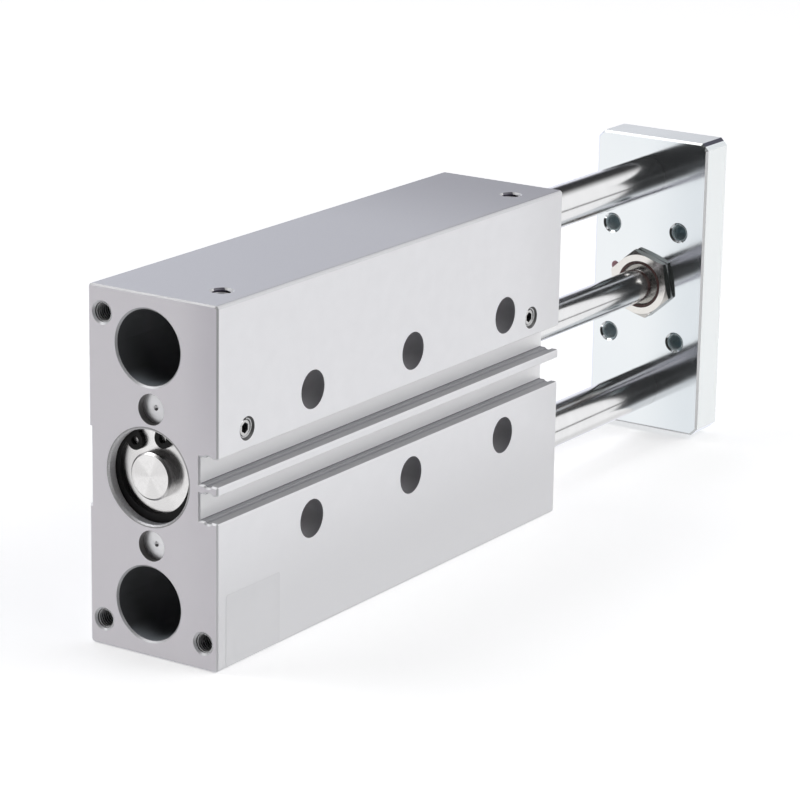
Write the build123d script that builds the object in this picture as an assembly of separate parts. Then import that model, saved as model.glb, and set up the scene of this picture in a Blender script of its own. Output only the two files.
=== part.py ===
from build123d import *
import os
from math import asin, cos, degrees, radians, sqrt

# Guided pneumatic cylinder with a twin-rod yoke, in millimetres.
# The origin is the centre of the housing's bottom face, +X is the way the yoke moves out,
# -Y is the wide face with the sensor slots and +Z is up.

# Travel
STROKE = 100.0
PARKED_TRAVEL = 74.0        # how far the rods stand out of the retracted position in this pose
RETRACTED_GAP = 10.0        # housing to yoke plate when retracted
END_GAP = 0.35              # left between a cushion pad and its stop at either end of the stroke

# Play between pieces
SEAT_PLAY = 0.02            # radial, in a pressed or screwed seat
RUNNING_PLAY = 0.03         # radial, between sliding faces
LOOSE_PLAY = 0.3            # radial, where a piece only passes through

# Housing, cut from an extruded profile
HOUSING_WIDTH = 39.0
HOUSING_HEIGHT = 92.0
HOUSING_EDGE_RADIUS = 1.0
HOUSING_END_CHAMFER = 0.42
AXIS_OFFSET = 1.4           # plane of the three rods, from the middle of the width towards +Y
GUIDE_PITCH = 65.0          # between the two guide rods
BACK_RECESS_WIDTH = 20.0
BACK_RECESS_DEPTH = 0.6

# Sensor slots in the wide face
SLOT_PITCH = 9.2
SLOT_MOUTH = 6.8
SLOT_UNDERCUT = 7.8
SLOT_DEPTH = 5.4
SLOT_LIP = 1.6
SLOT_UNDERCUT_DEPTH = 2.6
SLOT_ROUNDING = 1.2
SLOT_MOUTH_ROUNDING = 0.5

# Bolt holes through the housing
BOLT_FIRST_INSET = 39.6     # from the rear face
BOLT_PITCH = 45.0
BOLT_ROWS = 33.5
BOLT_HOLE = 5.5
BOLT_COUNTERBORE = 10.0
BOLT_COUNTERBORE_DEPTH = 10.0
BOLT_COLUMNS = 3

# M5 threads, drawn as plain holes of the nominal diameter
M5 = 5.0
M5_MOUTH = 6.1
REAR_THREAD_DEPTH = 12.0
REAR_THREAD_SPREAD_Y = 30.4
REAR_THREAD_SPREAD_Z = 78.4

# Cylinder bore and its two end seats
BORE = 20.0
SEAT = 24.0
SEAT_CHAMFER = 0.4
RING_GROOVE = 25.2
RING_GROOVE_PLAY = 0.1
RING_RECESS = 2.6           # end face to retaining ring
RING_THICKNESS = 1.2

# Air ports
PORT_THREAD_DEPTH = 8.0
AIR_DUCT = 3.4
AIR_GROOVE_WIDTH = 3.0
AIR_GROOVE_DEPTH = 1.0
AIR_WINDOW = 2.6
AIR_WINDOWS = 4
SKIRT_LIP = 1.8
REAR_PORT_LEAD = 1.7        # cap flange to port axis
FRONT_PORT_LEAD = 1.8
SIDE_PORT_RISE = 13.3       # above the piston rod
TOP_PORT_Y = -11.0
TOP_PORT_INSET = 13.2       # from either end face

# Drilled channels that the plugs close
CHANNEL_RISE = 17.3         # above and below the piston rod
CHANNEL_OFFSET = -1.0       # from the plane of the rods, towards +Y
CHANNEL_MOUTH = 7.8
CHANNEL_BORE = 6.0
CHANNEL_DEPTH = 15.5
PLUG_RECESS = 2.0
PLUG_LENGTH = 4.0
PLUG_MARK = 1.4
PLUG_MARK_DEPTH = 0.4

# Set screws that close the side ports
PLUG_SCREW_LENGTH = 5.0
PLUG_SCREW_SUNK = 0.7
PLUG_SCREW_SOCKET = 2.5
PLUG_SCREW_SOCKET_DEPTH = 2.4
SCREW_CHAMFER = 0.5

# End caps
REAR_FLANGE = 6.5
REAR_CAVITY = 14.0
BOSS = 12.1
BOSS_RECESS = 0.7           # rear face to the boss's end
BOSS_CHAMFER = 0.5
FRONT_FLANGE = 9.4
FRONT_SKIRT_BORE = 20.0
HUB = 17.0
HUB_REACH = 3.7             # hub past the skirt
O_RING_GROOVE_WIDTH = 2.2
O_RING_GROOVE_DEPTH = 1.5
O_RING_LEAD = 1.6           # cap face to groove
O_RING_WIDTH = 1.9
O_RING_ROUNDING = 0.45

# Rod guide in the front cap
PISTON_ROD = 10.0
BUSH_WALL = 1.0
BUSH_LENGTH = 10.0
WIPER_SEAT = 16.0
WIPER_DEPTH = 2.8
WIPER_LIP = 1.0
ROD_SEAL_SEAT = 16.0
ROD_SEAL_WIDTH = 3.4
ROD_SEAL_LEAD = 3.8         # cap face to the seal's seat
ROD_SEAL_GROOVE = 1.0       # mouth of the groove between its lips

# Retaining rings
RING_WIDTH_AT_BACK = 2.8
RING_WIDTH_AT_GAP = 1.2
RING_LUG_RADIUS = 2.4
RING_LUG_HOLE = 2.2
RING_LUG_INSET = 2.8        # outer edge to the middle of the lug hole
RING_LUG_SPACING = 8.6
RING_TURN = 12.0            # degrees by which the gap leans from the vertical

# Piston
PISTON_LENGTH = 18.0
PISTON_END_WALL = 1.6
PISTON_SEAL_WIDTH = 2.6
PISTON_SEAL_DEPTH = 2.2
PISTON_SEAL_LIP = 0.7
PISTON_MIDDLE_RIB = 1.2
MAGNET_WIDTH = 2.8
MAGNET_DEPTH = 2.4
MAGNET_SUNK = 0.3
GUIDE_RING_WIDTH = 3.6
GUIDE_RING_DEPTH = 1.0
PAD_PROUD = 1.0
PAD_SUNK = 1.0
PAD_OUTSIDE = 17.0
PAD_HOLE = 13.0
ROD_SPIGOT = 6.0
PISTON_NUT_FLATS = 10.0
PISTON_NUT_HEIGHT = 5.0
SPIGOT_END = 0.5            # thread past the nut

# Guide rods and their linear ball bushings
GUIDE_ROD = 12.0
GUIDE_TAIL = 1.0            # rear face to the rod's tail when retracted
GUIDE_ROD_CHAMFER = 1.0
GUIDE_BORE = 19.0
GUIDE_BORE_CHAMFER = 0.5
GUIDE_WIPER_LENGTH = 3.0
GUIDE_WIPER_SUNK = 0.3
GUIDE_WIPER_WALL = 1.4
BUSHING_LENGTH = 28.0
BUSHING_SPACING = 0.2
SHELL_WALL = 1.4
SHELL_END = 0.8
SHELL_LIP = 1.9
SHELL_EDGE = 0.5
CAGE_END_PLAY = 0.2
CAGE_OUTER_PLAY = 0.12
CAGE_INNER_PLAY = 0.25
BALL = 2.0
BALL_PLAY = 0.04
BALL_CIRCUITS = 4
BALLS_IN_ROW = 3
ROW_OFFSET = 2.2            # row of balls to the middle of its circuit
ROW_LENGTH = 21.0
TRACK_WIDTH = 2.2
RETURN_TRACK_DEPTH = 1.1

# Yoke plate
YOKE_THICKNESS = 12.5
YOKE_WIDTH = 37.0
YOKE_HEIGHT = 89.0
YOKE_CORNER_CHAMFER = 2.0
YOKE_FACE_CHAMFER = 0.6
YOKE_THREADS_Y = 22.5
YOKE_THREADS_Z = 33.5
ROD_SEAT_DEPTH = 1.0

# Screws that hold the guide rods
GUIDE_SCREW = 6.0
GUIDE_SCREW_HOLE = 6.6
GUIDE_SCREW_HEAD = 10.0
GUIDE_SCREW_HEAD_HEIGHT = 6.0
GUIDE_SCREW_REACH = 12.0    # length inside the rod
GUIDE_SCREW_SOCKET = 5.0
GUIDE_SCREW_SOCKET_DEPTH = 3.0
GUIDE_SCREW_POCKET = 11.0
GUIDE_SCREW_SUNK = 0.4
DRILL_SPARE = 2.0           # thread hole past the screw's end

# Coupling of the piston rod to the yoke
COUPLING = 12.0
COUPLING_REAR_REACH = 2.0   # sleeve behind the yoke plate
COUPLING_SUNK = 0.5
COUPLING_CHAMFER = 0.8
COUPLING_SOCKET = 6.0
COUPLING_SOCKET_DEPTH = 4.0
COUPLING_SPIGOT = 8.0
COUPLING_SPIGOT_LENGTH = 9.0
LOCK_NUT_FLATS = 18.0
LOCK_NUT_HEIGHT = 2.8
LOCK_NUT_COUNTERSINK = 14.2
LOCK_NUT_TURN = 12.0        # degrees by which its upper corner leans from the vertical

# Places worked out from the sizes above
ROD_Z = HOUSING_HEIGHT / 2
CAP_INSET = RING_RECESS + RING_THICKNESS
REAR_SKIRT_START = CAP_INSET + REAR_FLANGE
REAR_PORT_INSET = REAR_SKIRT_START + REAR_PORT_LEAD
REAR_STOP = REAR_PORT_INSET + AIR_GROOVE_WIDTH / 2 + SKIRT_LIP
FRONT_SKIRT_START = CAP_INSET + FRONT_FLANGE
FRONT_PORT_INSET = FRONT_SKIRT_START + FRONT_PORT_LEAD
FRONT_SEAT_DEPTH = FRONT_PORT_INSET + AIR_GROOVE_WIDTH / 2 + SKIRT_LIP
FRONT_STOP = FRONT_SEAT_DEPTH + HUB_REACH
PISTON_ROOM = STROKE + PISTON_LENGTH + 2 * (PAD_PROUD + END_GAP)
HOUSING_LENGTH = REAR_STOP + PISTON_ROOM + FRONT_STOP
X_REAR = -HOUSING_LENGTH / 2
X_FRONT = HOUSING_LENGTH / 2
PISTON_REAR = X_REAR + REAR_STOP + END_GAP + PAD_PROUD + PARKED_TRAVEL
PISTON_FRONT = PISTON_REAR + PISTON_LENGTH
YOKE_REAR = X_FRONT + RETRACTED_GAP + PARKED_TRAVEL
YOKE_FRONT = YOKE_REAR + YOKE_THICKNESS
COUPLING_REAR = YOKE_REAR - COUPLING_REAR_REACH
GUIDE_HEIGHTS = {"lower": ROD_Z - GUIDE_PITCH / 2, "upper": ROD_Z + GUIDE_PITCH / 2}
CHANNEL_HEIGHTS = {"lower": ROD_Z - CHANNEL_RISE, "upper": ROD_Z + CHANNEL_RISE}

# Turns that lay a tool drawn along +X into the part
INTO_SIDE = Rot(0, 0, 90)
INTO_TOP = Rot(0, 90, 0)
INTO_FRONT = Rot(0, 0, 180)


def turned(*points):
    """Solid turned about the X axis from an outline of (x, radius) points."""
    return revolve(make_face(Polyline(*points, close=True)), axis=Axis.X)


def tube(start, end, inner, outer):
    """Plain ring along X between two places."""
    return turned((start, inner), (end, inner), (end, outer), (start, outer))


def rod(start, end, radius):
    """Plain cylinder along X between two places."""
    standing = Cylinder(radius, end - start, align=(Align.CENTER, Align.CENTER, Align.MIN))
    return Pos(start, 0, 0) * Rot(0, 90, 0) * standing


def hexagon(start, end, flats, turn=0.0):
    """Hexagonal prism along X with a corner pointing up, leaning towards +Y by turn."""
    outline = RegularPolygon(radius=flats / 2, side_count=6, major_radius=False)
    return Pos(start, 0, 0) * Rot(-turn, 0, 0) * extrude(Plane.YZ * Rot(0, 0, 90) * outline, end - start)


def threaded_mouth(depth, diameter=M5, mouth=M5_MOUTH):
    """Blind hole from x = 0 along +X with a countersunk mouth and a drill point."""
    radius = diameter / 2
    sink = (mouth - diameter) / 2
    return turned((0, 0), (0, mouth / 2), (sink, radius), (depth, radius), (depth + radius / 2, 0))


def threaded_through(length, diameter=M5, mouth=M5_MOUTH):
    """Hole right through along +X from x = 0, countersunk at both mouths."""
    radius = diameter / 2
    sink = (mouth - diameter) / 2
    return turned(
        (0, 0), (0, mouth / 2), (sink, radius), (length - sink, radius), (length, mouth / 2), (length, 0),
    )


def on_rod_axis(shape):
    """Moves a shape drawn about the X axis onto the piston rod's axis."""
    return Pos(0, AXIS_OFFSET, ROD_Z) * shape


def at_end(front, height):
    """Place of something drawn inwards along +X from the rear or the front face."""
    if front:
        return Pos(X_FRONT, AXIS_OFFSET, height) * INTO_FRONT
    return Pos(X_REAR, AXIS_OFFSET, height)


def housing_profile():
    """Section of the extruded housing in the YZ plane."""
    section = Pos(0, HOUSING_HEIGHT / 2) * Rectangle(HOUSING_WIDTH, HOUSING_HEIGHT)
    section = fillet(section.vertices(), HOUSING_EDGE_RADIUS)
    section -= Pos(HOUSING_WIDTH / 2, ROD_Z) * Rectangle(2 * BACK_RECESS_DEPTH, BACK_RECESS_WIDTH)
    face_y = -HOUSING_WIDTH / 2
    undercut_y = face_y + SLOT_LIP + SLOT_UNDERCUT_DEPTH / 2
    undercut = RectangleRounded(SLOT_UNDERCUT_DEPTH, SLOT_UNDERCUT, SLOT_ROUNDING)
    for side in (-1, 1):
        middle = ROD_Z + side * SLOT_PITCH / 2
        section -= Pos(face_y, middle) * Rectangle(2 * SLOT_DEPTH, SLOT_MOUTH)
        section -= Pos(undercut_y, middle) * undercut
    # all corners on the wide face but the two outermost belong to the slot mouths
    mouth_corners = section.vertices().group_by(Axis.X)[0].sort_by(Axis.Y)[1:-1]
    return fillet(mouth_corners, SLOT_MOUTH_ROUNDING)


def cylinder_bore():
    """Bore with a seat, a groove and a chamfer at both ends, as one turned tool."""
    groove_start = RING_RECESS - RING_GROOVE_PLAY
    seat = SEAT / 2
    rear = [
        (X_REAR, 0),
        (X_REAR, seat + SEAT_CHAMFER),
        (X_REAR + SEAT_CHAMFER, seat),
        (X_REAR + groove_start, seat),
        (X_REAR + groove_start, RING_GROOVE / 2),
        (X_REAR + CAP_INSET, RING_GROOVE / 2),
        (X_REAR + CAP_INSET, seat),
        (X_REAR + REAR_STOP, seat),
        (X_REAR + REAR_STOP, BORE / 2),
    ]
    front = [
        (X_FRONT - FRONT_SEAT_DEPTH, BORE / 2),
        (X_FRONT - FRONT_SEAT_DEPTH, seat),
        (X_FRONT - CAP_INSET, seat),
        (X_FRONT - CAP_INSET, RING_GROOVE / 2),
        (X_FRONT - groove_start, RING_GROOVE / 2),
        (X_FRONT - groove_start, seat),
        (X_FRONT - SEAT_CHAMFER, seat),
        (X_FRONT, seat + SEAT_CHAMFER),
        (X_FRONT, 0),
    ]
    return on_rod_axis(turned(*rear, *front))


def guide_bore(height):
    """Bore for a guide rod and its bushings, right through and chamfered at both mouths."""
    radius = GUIDE_BORE / 2
    mouth = radius + GUIDE_BORE_CHAMFER
    tool = turned(
        (X_REAR, 0),
        (X_REAR, mouth),
        (X_REAR + GUIDE_BORE_CHAMFER, radius),
        (X_FRONT - GUIDE_BORE_CHAMFER, radius),
        (X_FRONT, mouth),
        (X_FRONT, 0),
    )
    return Pos(0, AXIS_OFFSET, height) * tool


def bolt_hole(x, height):
    """Counterbored hole right through the width, drilled from the wide face."""
    head = BOLT_COUNTERBORE / 2
    shank = BOLT_HOLE / 2
    tool = turned(
        (0, 0), (0, head), (BOLT_COUNTERBORE_DEPTH, head), (BOLT_COUNTERBORE_DEPTH, shank),
        (HOUSING_WIDTH, shank), (HOUSING_WIDTH, 0),
    )
    return Pos(x, -HOUSING_WIDTH / 2, height) * INTO_SIDE * tool


def side_port(x):
    """Threaded side port and the duct from it to the cap seat."""
    duct_end = AXIS_OFFSET + HOUSING_WIDTH / 2
    tool = threaded_mouth(PORT_THREAD_DEPTH) + rod(PORT_THREAD_DEPTH, duct_end, AIR_DUCT / 2)
    return Pos(x, -HOUSING_WIDTH / 2, ROD_Z + SIDE_PORT_RISE) * INTO_SIDE * tool


def top_port(x):
    """Threaded top port and the duct from it down to the side port."""
    duct_end = HOUSING_HEIGHT - ROD_Z - SIDE_PORT_RISE
    tool = threaded_mouth(PORT_THREAD_DEPTH) + rod(PORT_THREAD_DEPTH, duct_end, AIR_DUCT / 2)
    return Pos(x, TOP_PORT_Y, HOUSING_HEIGHT) * INTO_TOP * tool


def channel(height, front):
    """Blind channel from an end face, with the wider mouth that takes its plug."""
    mouth = rod(0, PLUG_RECESS + PLUG_LENGTH, CHANNEL_MOUTH / 2)
    bore = rod(0, CHANNEL_DEPTH, CHANNEL_BORE / 2)
    return Pos(0, CHANNEL_OFFSET, 0) * at_end(front, height) * (mouth + bore)


def rear_thread(side_y, side_z):
    """Threaded hole near a corner of the rear face."""
    y = side_y * REAR_THREAD_SPREAD_Y / 2
    z = ROD_Z + side_z * REAR_THREAD_SPREAD_Z / 2
    return Pos(X_REAR, y, z) * threaded_mouth(REAR_THREAD_DEPTH)


def make_housing():
    """Length of the extruded profile with its end edges broken, then bored and drilled."""
    body = Pos(X_REAR, 0, 0) * extrude(Plane.YZ * housing_profile(), HOUSING_LENGTH)
    for end in (0, -1):
        end_face = body.faces().sort_by(Axis.X)[end]
        body = chamfer(end_face.outer_wire().edges(), HOUSING_END_CHAMFER)
    body -= cylinder_bore()
    for height in GUIDE_HEIGHTS.values():
        body -= guide_bore(height)
    for column in range(BOLT_COLUMNS):
        x = X_REAR + BOLT_FIRST_INSET + column * BOLT_PITCH
        for side in (-1, 1):
            body -= bolt_hole(x, ROD_Z + side * BOLT_ROWS / 2)
    for x in (X_REAR + REAR_PORT_INSET, X_FRONT - FRONT_PORT_INSET):
        body -= side_port(x)
    for x in (X_REAR + TOP_PORT_INSET, X_FRONT - TOP_PORT_INSET):
        body -= top_port(x)
    for height in CHANNEL_HEIGHTS.values():
        for front in (False, True):
            body -= channel(height, front)
    # the corner above the air ports has no thread
    for side_y, side_z in ((1, 1), (1, -1), (-1, -1)):
        body -= rear_thread(side_y, side_z)
    return body


def channel_plug(height, front):
    """Pressed-in plug with a small centre mark on its outer face."""
    radius = CHANNEL_MOUTH / 2 - SEAT_PLAY
    plug = rod(PLUG_RECESS, PLUG_RECESS + PLUG_LENGTH, radius)
    mark = turned((PLUG_RECESS, 0), (PLUG_RECESS, PLUG_MARK / 2), (PLUG_RECESS + PLUG_MARK_DEPTH, 0))
    return Pos(0, CHANNEL_OFFSET, 0) * at_end(front, height) * (plug - mark)


def port_plug_screw(x):
    """Hexagon socket set screw that closes a side port."""
    radius = M5 / 2 - SEAT_PLAY
    end = PLUG_SCREW_SUNK + PLUG_SCREW_LENGTH
    screw = turned(
        (PLUG_SCREW_SUNK, 0),
        (PLUG_SCREW_SUNK, radius - SCREW_CHAMFER),
        (PLUG_SCREW_SUNK + SCREW_CHAMFER, radius),
        (end - SCREW_CHAMFER, radius),
        (end, radius - SCREW_CHAMFER),
        (end, 0),
    )
    screw -= hexagon(PLUG_SCREW_SUNK, PLUG_SCREW_SUNK + PLUG_SCREW_SOCKET_DEPTH, PLUG_SCREW_SOCKET)
    return Pos(x, -HOUSING_WIDTH / 2, ROD_Z + SIDE_PORT_RISE) * INTO_SIDE * screw


def cap_outline(start, port, end):
    """Outer outline of an end cap from its face inwards: seal groove, air groove and skirt end."""
    radius = SEAT / 2 - SEAT_PLAY
    seal = start + O_RING_LEAD
    air_start = port - AIR_GROOVE_WIDTH / 2
    air_end = port + AIR_GROOVE_WIDTH / 2
    return [
        (start, radius),
        (seal, radius),
        (seal, radius - O_RING_GROOVE_DEPTH),
        (seal + O_RING_GROOVE_WIDTH, radius - O_RING_GROOVE_DEPTH),
        (seal + O_RING_GROOVE_WIDTH, radius),
        (air_start, radius),
        (air_start, radius - AIR_GROOVE_DEPTH),
        (air_end, radius - AIR_GROOVE_DEPTH),
        (air_end, radius),
        (end, radius),
    ]


def air_windows(inset, inner):
    """Ring of drillings that let the air through a cap's skirt."""
    reach = SEAT / 2 - inner
    drill = Pos(inset, 0, inner + reach / 2) * Cylinder(AIR_WINDOW / 2, reach)
    return [Rot(360 * turn / AIR_WINDOWS, 0, 0) * drill for turn in range(AIR_WINDOWS)]


def make_rear_cap():
    """Rear cap: boss through the retaining ring, flange with seal groove, skirt round the piston nut."""
    boss = BOSS / 2
    cap = turned(
        (BOSS_RECESS, 0),
        (BOSS_RECESS, boss - BOSS_CHAMFER),
        (BOSS_RECESS + BOSS_CHAMFER, boss),
        (CAP_INSET, boss),
        *cap_outline(CAP_INSET, REAR_PORT_INSET, REAR_STOP),
        (REAR_STOP, REAR_CAVITY / 2),
        (REAR_SKIRT_START, REAR_CAVITY / 2),
        (REAR_SKIRT_START, 0),
    )
    for window in air_windows(REAR_PORT_INSET, REAR_CAVITY / 2 - LOOSE_PLAY):
        cap -= window
    return at_end(False, ROD_Z) * cap


def make_front_cap():
    """Front cap: wiper seat, seal groove, bush bore, and a skirt round the hub for the air."""
    rod_hole = PISTON_ROD / 2 + LOOSE_PLAY
    bush_seat = PISTON_ROD / 2 + BUSH_WALL
    bush_start = FRONT_STOP - BUSH_LENGTH
    seal_start = CAP_INSET + ROD_SEAL_LEAD
    seal_end = seal_start + ROD_SEAL_WIDTH
    wiper_end = CAP_INSET + WIPER_DEPTH
    cap = turned(
        *cap_outline(CAP_INSET, FRONT_PORT_INSET, FRONT_SEAT_DEPTH),
        (FRONT_SEAT_DEPTH, FRONT_SKIRT_BORE / 2),
        (FRONT_SKIRT_START, FRONT_SKIRT_BORE / 2),
        (FRONT_SKIRT_START, HUB / 2),
        (FRONT_STOP, HUB / 2),
        (FRONT_STOP, bush_seat),
        (bush_start, bush_seat),
        (bush_start, rod_hole),
        (seal_end, rod_hole),
        (seal_end, ROD_SEAL_SEAT / 2),
        (seal_start, ROD_SEAL_SEAT / 2),
        (seal_start, rod_hole),
        (wiper_end, rod_hole),
        (wiper_end, WIPER_SEAT / 2),
        (CAP_INSET, WIPER_SEAT / 2),
    )
    for window in air_windows(FRONT_PORT_INSET, HUB / 2 + LOOSE_PLAY):
        cap -= window
    return at_end(True, ROD_Z) * cap


def cap_o_ring(front):
    """Seal ring squeezed flat between the floor of a cap's groove and its seat."""
    inner = SEAT / 2 - O_RING_GROOVE_DEPTH
    outer = SEAT / 2 - SEAT_PLAY
    start = CAP_INSET + O_RING_LEAD + (O_RING_GROOVE_WIDTH - O_RING_WIDTH) / 2
    end = start + O_RING_WIDTH
    ring = turned(
        (start + O_RING_ROUNDING, inner),
        (end - O_RING_ROUNDING, inner),
        (end, inner + O_RING_ROUNDING),
        (end, outer - O_RING_ROUNDING),
        (end - O_RING_ROUNDING, outer),
        (start + O_RING_ROUNDING, outer),
        (start, outer - O_RING_ROUNDING),
        (start, inner + O_RING_ROUNDING),
    )
    return at_end(front, ROD_Z) * ring


def retaining_ring(front):
    """Internal retaining ring: it narrows towards its gap and has two lugs with plier holes."""
    outer = RING_GROOVE / 2 - SEAT_PLAY
    lean = (RING_WIDTH_AT_BACK - RING_WIDTH_AT_GAP) / 2
    inner = outer - (RING_WIDTH_AT_BACK + RING_WIDTH_AT_GAP) / 2
    lug_radius = outer - RING_LUG_INSET
    lug_angle = degrees(asin(RING_LUG_SPACING / 2 / lug_radius))
    gap_width = RING_LUG_SPACING - 2 * RING_LUG_RADIUS
    ring = Circle(outer) - Pos(0, lean) * Circle(inner)
    arm_length = outer - RING_WIDTH_AT_GAP / 2 - lug_radius
    for side in (-1, 1):
        turn = Rot(0, 0, side * lug_angle)
        arm = Pos(0, lug_radius + arm_length / 2) * Rectangle(2 * RING_LUG_RADIUS, arm_length)
        ring += turn * (arm + Pos(0, lug_radius) * Circle(RING_LUG_RADIUS))
    ring -= Pos(0, outer) * Rectangle(gap_width, 2 * outer)
    for side in (-1, 1):
        ring -= Rot(0, 0, side * lug_angle) * Pos(0, lug_radius) * Circle(RING_LUG_HOLE / 2)
    start = X_FRONT - CAP_INSET if front else X_REAR + RING_RECESS
    solid = extrude(Plane.YZ * ring, RING_THICKNESS)
    return on_rod_axis(Pos(start, 0, 0) * Rot(-RING_TURN, 0, 0) * solid)


def make_rod_bush():
    """Plain bearing bush for the piston rod, flush with the hub's inner end."""
    start = X_FRONT - FRONT_STOP
    inner = PISTON_ROD / 2 + RUNNING_PLAY
    outer = PISTON_ROD / 2 + BUSH_WALL - SEAT_PLAY
    return on_rod_axis(tube(start, start + BUSH_LENGTH, inner, outer))


def make_rod_seal():
    """Rod seal with its groove open towards the pressure."""
    inner = PISTON_ROD / 2 + RUNNING_PLAY
    outer = ROD_SEAL_SEAT / 2 - SEAT_PLAY
    middle = (inner + outer) / 2
    front = X_FRONT - CAP_INSET - ROD_SEAL_LEAD
    rear = front - ROD_SEAL_WIDTH + SEAT_PLAY
    lips = turned(
        (front, inner),
        (front, outer),
        (rear, outer),
        (rear, middle + ROD_SEAL_GROOVE / 2),
        ((front + rear) / 2, middle),
        (rear, middle - ROD_SEAL_GROOVE / 2),
        (rear, inner),
    )
    return on_rod_axis(lips)


def make_rod_wiper():
    """Wiper ring with a scraping lip that points outwards."""
    inner = PISTON_ROD / 2 + RUNNING_PLAY
    outer = WIPER_SEAT / 2 - SEAT_PLAY
    front = X_FRONT - CAP_INSET
    rear = front - WIPER_DEPTH
    wiper = turned(
        (rear, inner + LOOSE_PLAY), (rear, outer), (front, outer), (front, inner + WIPER_LIP),
        (front + WIPER_LIP, inner + LOOSE_PLAY), (front + WIPER_LIP, inner), (front, inner),
    )
    return on_rod_axis(wiper)


def guide_wiper(height):
    """Wiper ring in front of the ball bushings."""
    inner = GUIDE_ROD / 2 + RUNNING_PLAY
    outer = GUIDE_BORE / 2 - SEAT_PLAY
    front = X_FRONT - GUIDE_WIPER_SUNK
    middle = front - GUIDE_WIPER_LENGTH / 2
    rear = front - GUIDE_WIPER_LENGTH
    wiper = turned(
        (rear, outer - GUIDE_WIPER_WALL),
        (rear, outer),
        (front - SHELL_EDGE, outer),
        (front, outer - SHELL_EDGE),
        (front, inner),
        (middle, inner + LOOSE_PLAY),
        (middle, outer - GUIDE_WIPER_WALL),
    )
    return Pos(0, AXIS_OFFSET, height) * wiper


def bushing_shell():
    """Hardened sleeve of a ball bushing with its ends rolled inwards, starting at x = 0."""
    outer = GUIDE_BORE / 2 - SEAT_PLAY
    track = outer - SHELL_WALL
    lip = outer - SHELL_LIP
    return turned(
        (0, lip), (0, outer - SHELL_EDGE), (SHELL_EDGE, outer), (BUSHING_LENGTH - SHELL_EDGE, outer),
        (BUSHING_LENGTH, outer - SHELL_EDGE), (BUSHING_LENGTH, lip), (BUSHING_LENGTH - SHELL_END, lip),
        (BUSHING_LENGTH - SHELL_END, track), (SHELL_END, track), (SHELL_END, lip),
    )


def circuit_tracks():
    """Tools for one ball circuit above the X axis: the load slot, and the return track joined to it."""
    top = GUIDE_BORE / 2
    floor = top - SEAT_PLAY - SHELL_WALL - CAGE_OUTER_PLAY - RETURN_TRACK_DEPTH
    loop_width = 2 * ROW_OFFSET + TRACK_WIDTH
    loop = SlotOverall(ROW_LENGTH + TRACK_WIDTH, loop_width)
    loop -= SlotOverall(ROW_LENGTH - TRACK_WIDTH, loop_width - 2 * TRACK_WIDTH)
    slot = Pos(0, ROW_OFFSET) * SlotOverall(ROW_LENGTH - loop_width + TRACK_WIDTH, TRACK_WIDTH)
    middle = BUSHING_LENGTH / 2
    return [Pos(middle, 0, floor) * extrude(loop, top - floor), Pos(middle, 0, 0) * extrude(slot, top)]


def bushing_cage():
    """Cage with a load slot and a return track for each circuit of balls."""
    inner = GUIDE_ROD / 2 + CAGE_INNER_PLAY
    outer = GUIDE_BORE / 2 - SEAT_PLAY - SHELL_WALL - CAGE_OUTER_PLAY
    inset = SHELL_END + CAGE_END_PLAY
    cage = tube(inset, BUSHING_LENGTH - inset, inner, outer)
    for circuit in range(BALL_CIRCUITS):
        for track in circuit_tracks():
            cage -= Rot(360 * circuit / BALL_CIRCUITS, 0, 0) * track
    return cage


def bushing_balls():
    """Loaded rows of balls between the rod and the sleeve."""
    radius = BALL / 2 - BALL_PLAY
    pitch_radius = GUIDE_ROD / 2 + BALL / 2
    height = sqrt(pitch_radius ** 2 - ROW_OFFSET ** 2)
    room = ROW_LENGTH - 2 * ROW_OFFSET - BALL
    balls = []
    for circuit in range(BALL_CIRCUITS):
        turn = Rot(360 * circuit / BALL_CIRCUITS, 0, 0)
        for place in range(BALLS_IN_ROW):
            x = BUSHING_LENGTH / 2 + room * (place / (BALLS_IN_ROW - 1) - 0.5)
            balls.append(turn * Pos(x, ROW_OFFSET, height) * Sphere(radius))
    return balls


def make_piston():
    """Piston with grooves for two seals, the guide ring and the magnet, and recesses for the pads."""
    radius = BORE / 2 - LOOSE_PLAY
    body = tube(0, PISTON_LENGTH, ROD_SPIGOT / 2 + SEAT_PLAY, radius)
    for start, width, depth in piston_grooves():
        body -= tube(start, start + width, radius - depth, radius)
    body -= tube(0, PAD_SUNK, PAD_HOLE / 2, PAD_OUTSIDE / 2)
    body -= tube(PISTON_LENGTH - PAD_SUNK, PISTON_LENGTH, PAD_HOLE / 2, PAD_OUTSIDE / 2)
    return on_rod_axis(Pos(PISTON_REAR, 0, 0) * body)


def piston_grooves():
    """Start, width and depth of the rear seal, guide ring, magnet and front seal grooves."""
    middle = PISTON_LENGTH / 2
    rib = PISTON_MIDDLE_RIB / 2
    return [
        (PISTON_END_WALL, PISTON_SEAL_WIDTH, PISTON_SEAL_DEPTH),
        (middle - rib - GUIDE_RING_WIDTH, GUIDE_RING_WIDTH, GUIDE_RING_DEPTH),
        (middle + rib, MAGNET_WIDTH, MAGNET_DEPTH),
        (PISTON_LENGTH - PISTON_END_WALL - PISTON_SEAL_WIDTH, PISTON_SEAL_WIDTH, PISTON_SEAL_DEPTH),
    ]


def piston_ring(groove, outer):
    """Plain ring that fills a piston groove up to the given radius."""
    start, width, depth = groove
    inner = BORE / 2 - LOOSE_PLAY - depth + SEAT_PLAY
    ring = tube(start + SEAT_PLAY, start + width - SEAT_PLAY, inner, outer)
    return on_rod_axis(Pos(PISTON_REAR, 0, 0) * ring)


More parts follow.
